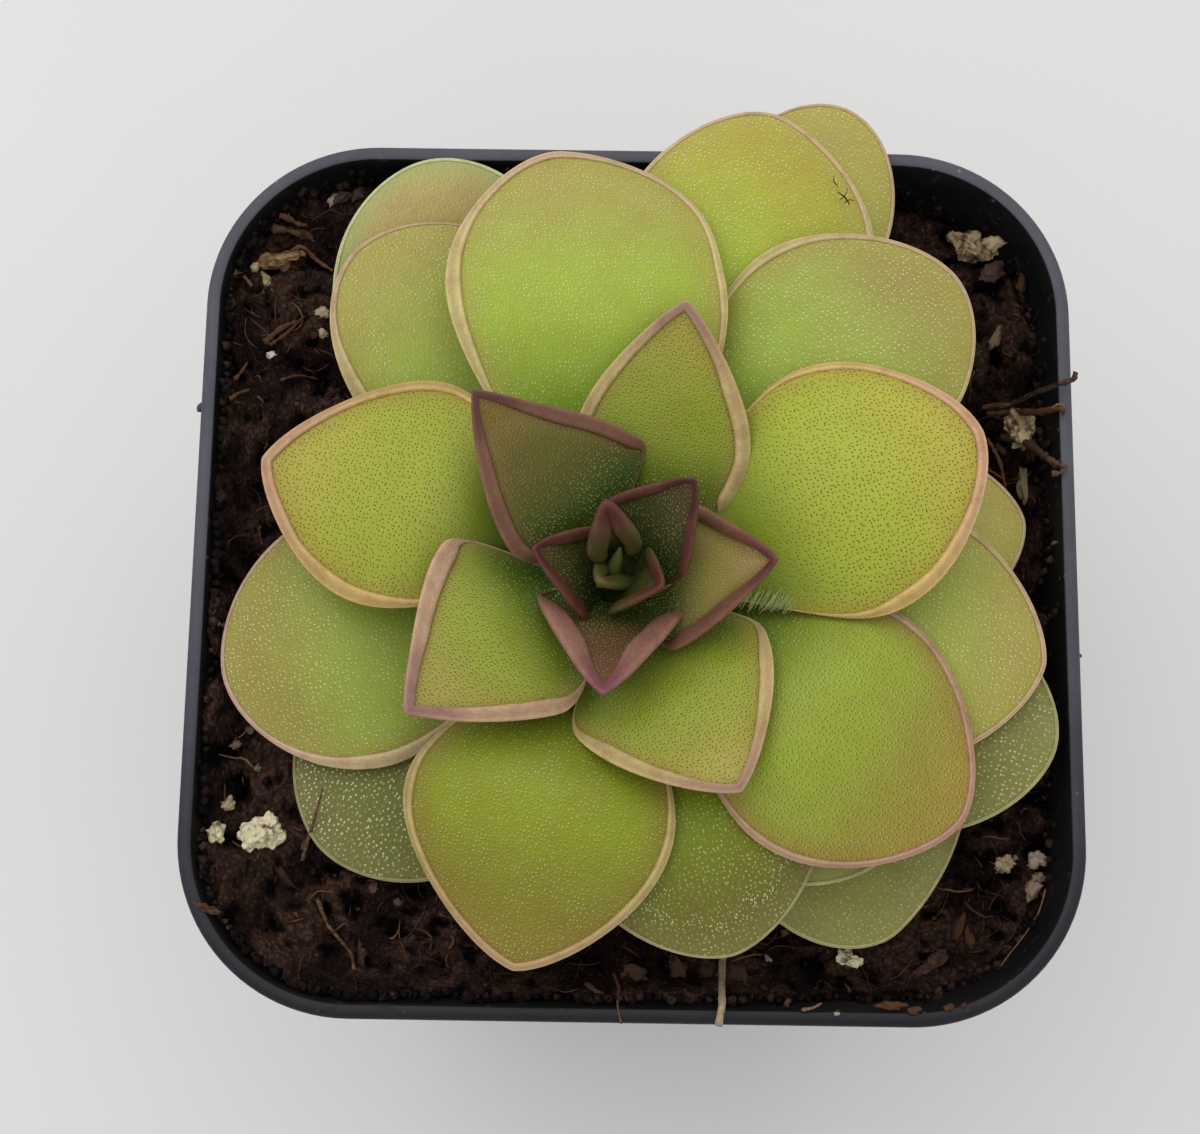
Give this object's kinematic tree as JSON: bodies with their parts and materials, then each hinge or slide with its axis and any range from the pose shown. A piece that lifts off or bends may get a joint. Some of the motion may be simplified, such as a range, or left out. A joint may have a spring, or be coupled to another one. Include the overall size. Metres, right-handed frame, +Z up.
{
  "type": "potted butterwort",
  "caption": "Small house plant: a rosette of fleshy, sticky leaves with rolled margins, growing in potting mix in a rounded square plastic nursery pot.",
  "frame": {"origin": "centre of the pot's flat base, on the surface it stands on", "axes": "+Z up, +X along the side of the pot that is on the right in the picture, +Y towards the picture's top"},
  "size_m": [0.0804, 0.0837, 0.0951],
  "materials": {
    "pot_plastic": "satin",
    "potting_mix": "rough",
    "stem": "matte",
    "leaf": "satin",
    "young_leaf": "satin",
    "perlite": "rough",
    "bark": "rough",
    "dry_stalk": "matte"
  },
  "bodies": {
    "root": {"pot": "pot_plastic", "soil": "potting_mix", "crown": "stem", "leaf_low_back_left": "leaf", "leaf_low_back_right": "leaf", "leaf_low_front_left": "leaf", "leaf_low_front_right": "leaf", "leaf_low_right": "leaf", "leaf_low_right_front": "leaf", "leaf_low_inner_front": "leaf", "leaf_outer_back_left": "leaf", "leaf_outer_back": "leaf", "leaf_outer_front": "leaf", "leaf_outer_right": "leaf", "leaf_outer_left": "leaf", "leaf_outer_back_right": "leaf", "leaf_main_front_right": "leaf", "leaf_main_front": "leaf", "leaf_main_back": "leaf", "leaf_main_left": "leaf", "leaf_main_right": "leaf", "leaf_mid_front": "leaf", "leaf_mid_left": "leaf", "leaf_mid_back": "leaf", "leaf_mid_back_left": "young_leaf", "leaf_inner_right": "young_leaf", "leaf_inner_front": "young_leaf", "leaf_inner_back": "young_leaf", "leaf_inner_left": "young_leaf", "leaf_young_back": "young_leaf", "leaf_young_right": "young_leaf", "leaf_young_left": "young_leaf", "perlite_1": "perlite", "perlite_2": "perlite", "perlite_3": "perlite", "perlite_4": "perlite", "perlite_5": "perlite", "perlite_6": "perlite", "bark_1": "bark", "bark_2": "bark", "bark_3": "bark", "bark_on_rim": "bark", "bark_fibre": "bark", "twig_front_left": "bark", "twig_right": "bark", "root_over_rim": "bark", "dry_stalk": "dry_stalk"}
  },
  "joints": []
}
